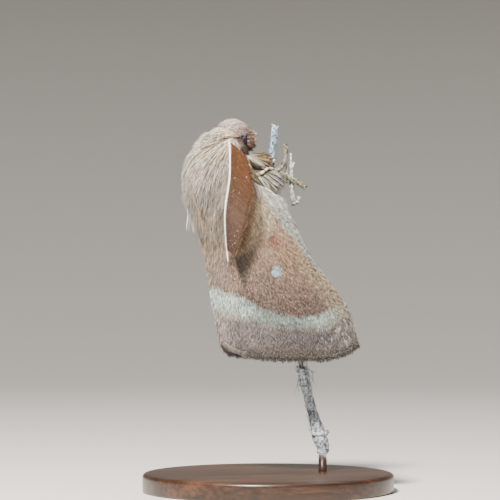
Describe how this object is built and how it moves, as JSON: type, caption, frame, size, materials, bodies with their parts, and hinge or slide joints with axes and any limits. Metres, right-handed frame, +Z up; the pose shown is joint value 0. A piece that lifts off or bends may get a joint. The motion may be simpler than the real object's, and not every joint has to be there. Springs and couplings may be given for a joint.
{
  "type": "grass eggar moth model",
  "caption": "Life-size resting male moth with comb-like antennae, head up on a dry forked stem, held by a small round stand.",
  "frame": {"origin": "middle of the stand's underside", "axes": "+Z up, towards the moth's head; +X towards the moth's belly and the stem; -Y towards the moth's right side"},
  "size_m": [0.03, 0.03, 0.0445],
  "materials": {
    "body_fur": "long soft buff hair",
    "eye": "glossy dark compound eye",
    "antenna": "orange-brown combs on a pale shaft",
    "forewing": "red-brown scales with a pale band and a white spot",
    "hindwing": "brown scales",
    "leg_fur": "pale grey-buff hair",
    "dry_stem": "weathered grey bark",
    "stand_wood": "dark satin varnish",
    "stand_steel": "brushed"
  },
  "bodies": {
    "root": {"head": "body_fur", "thorax": "body_fur", "abdomen": "body_fur", "palp_right": "body_fur", "palp_left": "body_fur", "eye_right": "eye", "eye_left": "eye", "antenna_right": "antenna", "antenna_left": "antenna", "forewing_right": "forewing", "forewing_left": "forewing", "hindwing_right": "hindwing", "hindwing_left": "hindwing", "foreleg_right": "leg_fur", "foreleg_left": "leg_fur", "midleg_right": "leg_fur", "midleg_left": "leg_fur", "hindleg_right": "leg_fur", "hindleg_left": "leg_fur", "perch": "dry_stem", "stand_base": "stand_wood", "stand_rod": "stand_steel"}
  },
  "joints": []
}
